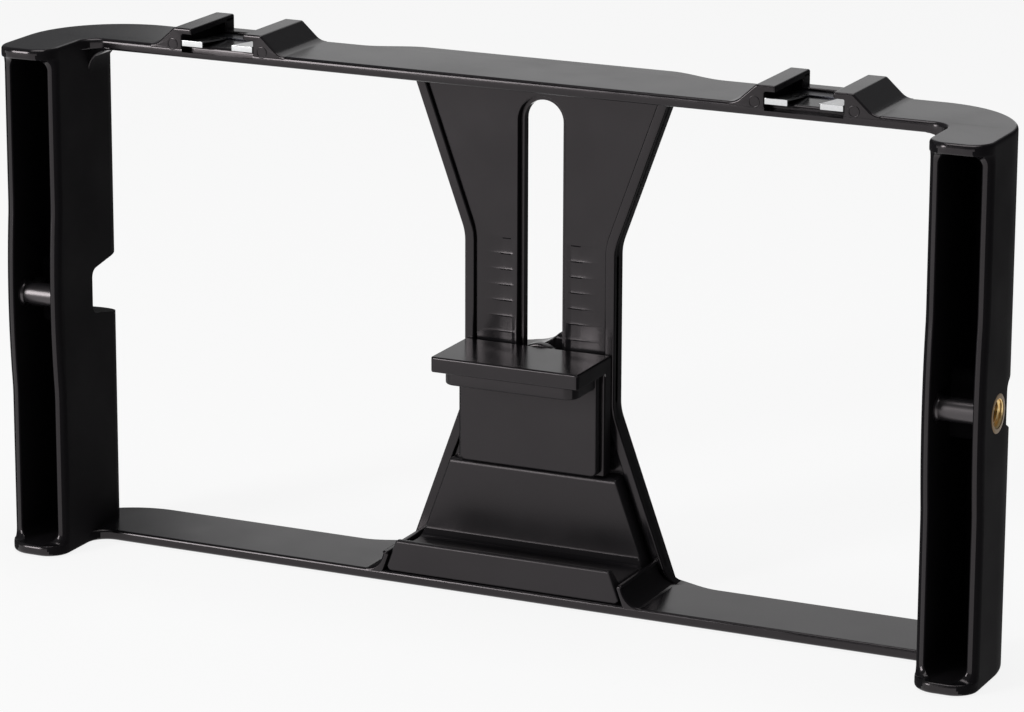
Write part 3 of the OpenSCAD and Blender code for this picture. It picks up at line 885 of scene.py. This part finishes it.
# All of the handle except the front of its rims gets the darker ABS copy: painted shade.
for face in one_handle.faces:
    on_front = face.calc_center_median().y < rim_y + RIM_DEPTH and abs(face.normal.x) < RIM_TURN
    face.material_index = SATIN if on_front else PAINTED_SHADE
channel_faces = set(one_handle.faces)
cross_bar(one_handle)
# The bar and the seat get the lighter ABS copy: a painted highlight.
for face in one_handle.faces:
    if face not in channel_faces:
        face.material_index = PAINTED_HIGHLIGHT
handle_mesh = bpy.data.meshes.new("handle")
one_handle.to_mesh(handle_mesh)
shell.from_mesh(handle_mesh)
mirror_mesh(one_handle)
one_handle.to_mesh(handle_mesh)
shell.from_mesh(handle_mesh)
one_handle.free()
print("with handles:", len(shell.faces), "faces;", len(notch_edges), "notch edges rounded")

# %% [markdown]
# ## Spine
# The spine is a plate with a waist, a long slot and a rib along each edge. The slot is narrower in the rear
# layer, which leaves a ledge. The front layer has two more holes, one on each side of the slot.

# %% Spine
WAIST = 19.2
WAIST_H = 39.2
FLARE = 20.0
WAIST_R = 12.0
SPINE_END = 1
RIB = 2.5
RIB_Y = 35.6
RIB_EDGE = 0.45
SPINE_FRONT = 36.6
FRONT_EDGE = 0.25
REAR_EDGE = 0.4
LEDGE_Y = SPINE_FRONT + 1.4
SLOT_HALF = 6.0
SLOT_REAR_HALF = 4.95
SLOT_TOP = HEIGHT - 8.2
SLOT_LOW = carriage_low.z / MM + 3.3
PITCH = 3.76
TEETH = 13
TEETH_TOP = carriage_low.z / MM + 53.3
FIELD_IN, FIELD_OUT = 6.8, 15.9
slope = math.tan(math.radians(FLARE))
waist_low = MIDDLE - WAIST_H / 2
low_turn = waist_low + WAIST_R * math.tan(math.radians(FLARE / 2))


def spine_half(z):
    """Half the spine's width at a height below the waist."""
    return WAIST + slope * (waist_low - z)


def spine_side(inset):
    end = spine_half(SPINE_END) - inset / math.cos(math.radians(FLARE))
    centre = WAIST + WAIST_R
    side = [(end, SPINE_END)] + arc((centre, low_turn), WAIST_R + inset, 180 + FLARE, 180, 8)
    side += arc((centre, 2 * MIDDLE - low_turn), WAIST_R + inset, 180, 180 - FLARE, 8)
    return side + [(end, 2 * MIDDLE - SPINE_END)]


def slot_outline(half):
    narrower = SLOT_HALF - half
    low, top = SLOT_LOW + narrower + half, SLOT_TOP - narrower - half
    return arc((0, top), half, 0, 180, 20) + arc((0, low), half, 180, 360, 20)


def box_outline(x0, z0, x1, z1):
    return [(x0, z0), (x1, z0), (x1, z1), (x0, z1)]


spine = spine_side(0) + mirrored(spine_side(0))
fields = [(FIELD_IN, FIELD_OUT), (-FIELD_OUT, -FIELD_IN)]
field_low = TEETH_TOP - TEETH * PITCH
windows = [box_outline(x0, field_low, x1, TEETH_TOP) for x0, x1 in fields]
rounded_slab(shell, [spine, slot_outline(SLOT_REAR_HALF)], LEDGE_Y, SPINE_BACK, 0, REAR_EDGE, facing)
rounded_slab(shell, [spine, slot_outline(SLOT_HALF)] + windows, SPINE_FRONT, LEDGE_Y, FRONT_EDGE, 0, facing)
print("with the spine:", len(shell.faces), "faces")

# %% [markdown]
# ## Teeth
# On each side of the slot is a field of teeth that the jaw's land runs over. They look like thin ribs in a
# shallow hollow: each has a narrow crest, a flank above it that catches the light and a steeper underside
# that stays dark. One sheet closes each hole of the spine's front layer and carries the teeth. The hollow
# begins beside the slot and fades out towards the rib at the spine's edge.

# %% Teeth and ribs
TOOTH_DEPTH = 0.22
CREST = 0.05
FLANK_END = 0.65
UNDERSIDE = 0.3
UNDERSIDE_SHARE = 0.95
HOLLOW_IN, HOLLOW_RISE = 6.55, 1.0
HOLLOW_OUT, HOLLOW_FADE = 15.5, 6
SHEET_IN, SHEET_OUT = 6.3, 16.3
SHEET_STEP = 0.25
SHEET_POINTS = 37
SHEET_MARGIN = 0.35
SHEET_LIFT = 0.005
LAST_CREST = 0.02


def hollow_share(x):
    """Depth of the hollow at a distance from the middle, as a share of the full depth."""
    rise = clamped((x - HOLLOW_IN) / HOLLOW_RISE)
    return rise * eased(clamped((HOLLOW_OUT - x) / HOLLOW_FADE))


def both_sides(outline, low, high, low_r, high_r):
    """A slab on the right and its mirror image on the left."""
    for points in (outline, mirrored(outline)):
        rounded_slab(shell, [points], low, high, low_r, high_r, facing)


tooth = [(0, 0), (CREST, 0), (FLANK_END, 1.0), (PITCH - UNDERSIDE, UNDERSIDE_SHARE)]
heights = [(field_low - SHEET_MARGIN, 0.0)]
for i in range(TEETH):
    heights += [(field_low + i * PITCH + up, share) for up, share in tooth]
heights += [(TEETH_TOP + LAST_CREST, 0.0), (TEETH_TOP + SHEET_MARGIN, 0.0)]
across = [SHEET_IN] + [HOLLOW_IN + SHEET_STEP * k for k in range(SHEET_POINTS)] + [SHEET_OUT]
for side in (across, [-x for x in reversed(across)]):
    depths = [TOOTH_DEPTH * hollow_share(abs(x)) for x in side]
    sheet(shell, [[facing(x, z, SPINE_FRONT - SHEET_LIFT + share * depth) for x, depth in zip(side, depths)]
                  for z, share in heights])
both_sides(spine_side(0) + spine_side(RIB)[::-1], RIB_Y, LEDGE_Y, RIB_EDGE, 0)
print("with", TEETH, "teeth a side:", len(shell.faces), "faces")

# %% [markdown]
# ## Cheeks, feet and gussets
# Two cheeks stand on the bottom plate and hold the lower pad between them. Each leans a little and runs into
# the plate in a hollow curve, and the spine has a foot of the same curve on each side. Under the top plate, a
# gusset with a round hollow joins the plate to each handle. All of them start inside the plates, so no gap
# can show.

# %% Cheeks, feet and gussets
PAD_TOP = lower_pad_high.z / MM
PAD_TOP_HALF = 21.4
PAD_GAP = 0.4
CHEEK_Z = 7.4
CHEEK_R = 5.0
CHEEK_T = 1.7
CHEEK_CORNER = 0.7
CHEEK_EDGE = 0.6
CHEEK_SET_BACK = 0.05
INTO_RIB = 0.5
INTO_PLATE = 1.3
STEEP = 8.0
FOOT_EDGE = 0.3
FOOT_BACK = SPINE_BACK - 2
GUSSET_R = 6.0
GUSSET_EDGE = 0.4
GUSSET_RISE = 0.8


def pad_half(z):
    """Half the lower pad's width at a height."""
    return PAD_TOP_HALF + slope * (PAD_TOP - z)


cheek_in = pad_half(CHEEK_Z) + PAD_GAP
hollow = (cheek_in + CHEEK_T + CHEEK_R * math.cos(math.radians(STEEP)), PLATE_T + CHEEK_R)
cheek_corners = [(hollow[0], INTO_PLATE), (pad_half(INTO_PLATE) + PAD_GAP, INTO_PLATE),
                 (cheek_in, CHEEK_Z), (cheek_in + CHEEK_T, CHEEK_Z)]
cheek = round_corners(cheek_corners, [0, 0, CHEEK_CORNER, CHEEK_CORNER])
cheek += arc(hollow, CHEEK_R, 180 + STEEP, 270)
foot_z = PLATE_T + CHEEK_R * (1 - math.sin(math.radians(FLARE)))
foot = (spine_half(foot_z) + CHEEK_R * math.cos(math.radians(FLARE)), PLATE_T + CHEEK_R)
spine_foot = [(foot[0], INTO_PLATE), (spine_half(INTO_PLATE) - RIB, INTO_PLATE),
              (spine_half(foot_z) - RIB, foot_z)]
spine_foot += arc(foot, CHEEK_R, 180 + FLARE, 270)
hang = HEIGHT - PLATE_T
gusset = [(INNER + INTO_WALL, hang + GUSSET_RISE), (INNER - GUSSET_R, hang + GUSSET_RISE)]
gusset += arc((INNER - GUSSET_R, hang - GUSSET_R), GUSSET_R, 90, 0)
gusset += [(INNER + INTO_WALL, hang - GUSSET_R)]
both_sides(cheek, BAR_FRONT + CHEEK_SET_BACK, RIB_Y + INTO_RIB, CHEEK_EDGE, 0)
both_sides(spine_foot, RIB_Y, FOOT_BACK, FOOT_EDGE, FOOT_EDGE)
both_sides(gusset, BAR_FRONT, heel[1], GUSSET_EDGE, GUSSET_EDGE)
print("with cheeks, feet and gussets:", len(shell.faces), "faces")

# %% [markdown]
# ## Shoes
# Each shoe has two rails with an overhanging lip and a long sloping flank. The grooves under the lips are
# closed at the back and a low stop joins them. A round mark on the front of each rail shows where a pin
# pushed the moulding out of its mould.

# %% Shoes
LIP_HALF = 6.75
LIP_H = 1.5
RAIL_H = 4.4
RAIL_TOP = 4.7
RAIL_EDGE = 0.45
RAIL_CORNERS = [0, 0, 0.3, 0.35, 0.5, 0.8, 0]
FLANK = 42.0
FLANK_R = 4.0
SUNK = 1
STOP_L = 4.2
STOP_H = 1
STOP_EDGE = 0.4
PLUG_EDGE = 0.3
MARK_X = 11.75
MARK_Z = 0.5
MARK_RADII = (1.4, 1.05)
MARK_POINTS = 36
MARK_STEPS = 3
MARK_OUT = 0.12
MARK_IN = 0.2
rail_out = LIP_HALF + RAIL_TOP
rail_top = HEIGHT + RAIL_H
flank = math.radians(FLANK)
rail_foot = rail_out + (FLANK_R - (FLANK_R - RAIL_H) * math.cos(flank)) / math.sin(flank)
rail_corners = [(rail_foot, HEIGHT - SUNK), (SHOE_W / 2, HEIGHT - SUNK), (SHOE_W / 2, rail_top - LIP_H),
                (LIP_HALF, rail_top - LIP_H), (LIP_HALF, rail_top), (rail_out, rail_top),
                (rail_foot - FLANK_R * math.sin(flank), HEIGHT + FLANK_R * (1 - math.cos(flank)))]
rail = round_corners(rail_corners, RAIL_CORNERS)
rail += arc((rail_foot, HEIGHT + FLANK_R), FLANK_R, 270 - FLANK, 270)[1:]
for middle in (-SHOE_X, SHOE_X):
    for outline in (rail, mirrored(rail)):
        placed = [(x + middle, z) for x, z in outline]
        rounded_slab(shell, [placed], BAR_FRONT, BACK_Y, RAIL_EDGE, RAIL_EDGE, facing)
    stop = box_outline(middle - LIP_HALF - SUNK, BACK_Y - STOP_L, middle + LIP_HALF + SUNK, BACK_Y)
    rounded_slab(shell, [stop], HEIGHT - SUNK, HEIGHT + STOP_H, 0, STOP_EDGE, lying)
    for side in (-1, 1):
        ends = sorted((middle + side * LIP_HALF, middle + side * (SHOE_W / 2 + SUNK)))
        plug = box_outline(ends[0], HEIGHT - SUNK, ends[1], rail_top - LIP_H / 2)
        rounded_slab(shell, [plug], BACK_Y - STOP_L, BACK_Y, PLUG_EDGE, RAIL_EDGE, facing)
        mark_at = (middle + side * MARK_X, HEIGHT + MARK_Z)
        mark = [circle(mark_at, radius, MARK_POINTS) for radius in MARK_RADII]
        front, inside = BAR_FRONT - MARK_OUT, BAR_FRONT + MARK_IN
        rounded_slab(shell, mark, front, inside, MARK_OUT, 0, facing, MARK_STEPS)
print("with the shoes:", len(shell.faces), "faces")

# %% [markdown]
# ## One piece for the whole moulding
# The shells drawn so far overlap, and together they look like the one moulding that the frame is. They become
# one object with three materials. Faces that look sideways, and the hollow of each cheek on its outer side,
# get the darker, duller ABS: painted shade.

# %% One piece for the whole moulding
EDGE_ANGLE = math.radians(32)
LOOKS_SIDEWAYS = 0.7
HOLLOW_MARGIN = 0.4
# The share of a normal along x, times the face's distance from the middle in millimetres
OUTWARD = 6


def finished_piece(bm, name, node_name, body, materials):
    for face in bm.faces:
        face.smooth = True
    mesh = bpy.data.meshes.new(name)
    bm.to_mesh(mesh)
    bm.free()
    mesh.set_sharp_from_angle(angle=EDGE_ANGLE)
    for material in materials:
        mesh.materials.append(material)
    piece = bpy.data.objects.new(name, mesh)
    bpy.context.scene.collection.objects.link(piece)
    weighted = piece.modifiers.new("flat faces stay flat", "WEIGHTED_NORMAL")
    weighted.keep_sharp = True
    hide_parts(node_name)
    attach(piece, body)
    print(name, "has", len(mesh.polygons), "faces")
    return piece


def in_cheek_hollow(centre, normal):
    """Whether a face lies in a cheek's hollow and looks away from the middle."""
    beside = cheek_in + CHEEK_T - HOLLOW_MARGIN < abs(centre.x) < hollow[0]
    return beside and PLATE_T < centre.z < CHEEK_Z and normal.x * centre.x > OUTWARD


shell.normal_update()
for face in shell.faces:
    centre = face.calc_center_median() / MM
    # Sideways faces and the cheeks' outer hollows get the darker ABS copy: painted shade.
    dull = abs(face.normal.x) > LOOKS_SIDEWAYS or in_cheek_hollow(centre, face.normal)
    if face.material_index == SATIN and dull:
        face.material_index = PAINTED_SHADE
finished_piece(shell, "frame_shell", "frame", "frame_body",
               [satin_abs, shaded_abs, highlight_abs])

# %% [markdown]
# ## Jaw, pads and knob
# These are rounded copies of their solids. The front corners of the jaw's shelf are rounder than its other
# edges. The lower pad has a wide rounding along the top of its lip and in the corner of its trough, as a soft
# moulding needs it, and narrower ones elsewhere.

# %% Jaw, pads and knob
ALONG = 0.9
LEANS = 0.4
shelf_front = carriage_low.y + 1 * MM
lip_top = lower_pad_high.z - 0.5 * MM
lip_back = SPINE_FRONT * MM + rim_y - 2 * MM


def carriage_edge(middle, along, angle):
    return 1.0 if abs(along.z) > ALONG and middle.y < shelf_front else 0.5


def pad_edge(middle, along, angle):
    if middle.z > lip_top and abs(along.x) > ALONG and middle.y < lip_back:
        return 1.2
    return 0.95 if angle < 0 else 0.6


def on_side(middle, normal):
    return abs(normal.x) > LOOKS_SIDEWAYS


def on_side_or_trough(middle, normal):
    return on_side(middle, normal) or normal.y < -LEANS and normal.z > LEANS


# The carriage's sides get the darker ABS copy: painted shade.
rounded_copy("jaw_carriage", "jaw_carriage_shell", "jaw", satin_abs,
             carriage_edge, other=shaded_abs, where=on_side)
# The pads' sides, and the lower pad's trough face, get the duller rubber copy: painted shade.
rounded_copy("jaw_pad", "jaw_pad_skin", "jaw", pad_rubber,
             even_edges(0.5), other=shaded_rubber, where=on_side)
rounded_copy("lower_jaw_pad", "lower_pad_skin", "frame_body", pad_rubber,
             pad_edge, other=shaded_rubber, where=on_side_or_trough)
rounded_copy("clamp_knob", "knob_shell", "knob", satin_abs, even_edges(0.4))

# %% [markdown]
# ## Thread inserts
# A brass insert is turned from bar, threaded 1/4 inch with twenty turns to the inch, and moulded into its
# seat with the flange flush in the handle's side. The whole insert is one sheet of rings. In the bore, the
# radius of each point follows the thread, which moves along by one pitch in each turn. A flat disc closes
# the inner end.

# %% Thread inserts
THREAD_R = 3.175
THREAD_PITCH = 1.27
THREAD_DEPTH = 0.6
MOUTH_R = 3.45
BORE_STEPS = 38
FLANGE_EDGE = 0.2
EDGE_MIDDLE = 0.06
END_DISC = 0.1
BRIGHT_MARGIN = 0.1


def thread_ring(depth, hand):
    """A ring of the bore at a depth below the flange's face; the mouth is countersunk."""
    points = []
    for k in range(RING_POINTS):
        turn = (depth / THREAD_PITCH + hand * k / RING_POINTS) % 1
        ridge = clamped(3 * abs(2 * turn - 1) - 1)
        radius = max(THREAD_R - THREAD_DEPTH * ridge, MOUTH_R - depth)
        angle = math.radians(360 * k / RING_POINTS)
        points.append((AXIS_Y + radius * math.cos(angle), MIDDLE + radius * math.sin(angle)))
    return [sideways(a, b, HALF - depth) for a, b in points]


def insert_rings(hand):
    """Rings over the outside, the flange's face, down the bore and across the closed end."""
    outside = [(INSERT_L, THREAD_R), (INSERT_L, INSERT_R), (FLANGE_T, INSERT_R), (FLANGE_T, FLANGE_R),
               (FLANGE_EDGE, FLANGE_R), (EDGE_MIDDLE, FLANGE_R - EDGE_MIDDLE), (0, FLANGE_R - FLANGE_EDGE)]
    rings = [ring(HALF - depth, radius) for depth, radius in outside]
    rings += [thread_ring(INSERT_L * k / BORE_STEPS, hand) for k in range(BORE_STEPS + 1)]
    disc_x = HALF - INSERT_L + END_DISC
    return rings + [ring(disc_x, THREAD_R - THREAD_DEPTH), ring(disc_x, POLE)]


for side, hand in (("right", 1), ("left", -1)):
    insert = bmesh.new()
    sheet(insert, insert_rings(hand), True)
    # Faces in the bore get the pale brass, a painted highlight; the rest get the dark brown, painted shade.
    for face in insert.faces:
        centre = face.calc_center_median() / MM
        from_axis = math.hypot(centre.y - rim_y / MM - AXIS_Y, centre.z - MIDDLE)
        face.material_index = 1 if from_axis < MOUTH_R - BRIGHT_MARGIN else 0
    if side == "left":
        mirror_mesh(insert)
    finished_piece(insert, side + "_insert", side + "_thread_insert", "frame_body",
                   [brass_painted_shade, brass_painted_highlight])

# %% [markdown]
# ## Springs, bolt, washer and nut
# A spring is cut and bent from thin strip, so its edges are only broken. The bolt, the washer and the nut are
# bought parts with small roundings. The base of each spring, in front of the stop, is blued.

# %% Springs, bolt, washer and nut
SPRING_BASE = 4.5
METAL_STEPS = 2
base_front = rim_y + (BACK_Y - STOP_L - SPRING_BASE) * MM


def on_base(middle, normal):
    return middle.y > base_front


for side in ("left", "right"):
    rounded_copy(side + "_shoe_spring", side + "_spring_strip", "frame_body", spring_steel,
                 even_edges(0.08), METAL_STEPS, other=blued_steel, where=on_base)
rounded_copy("clamp_bolt", "clamp_bolt_steel", "jaw", zinc_steel, even_edges(0.15), METAL_STEPS)
rounded_copy("knob_washer", "washer_steel", "washer", zinc_steel, even_edges(0.12), METAL_STEPS)
rounded_copy("knob_nut", "nut_steel", "knob", zinc_steel, even_edges(0.15), METAL_STEPS)

# %% [markdown]
# ## Up to date
# The view layer is brought up to date.

# %% Bring the view layer up to date
bpy.context.view_layer.update()
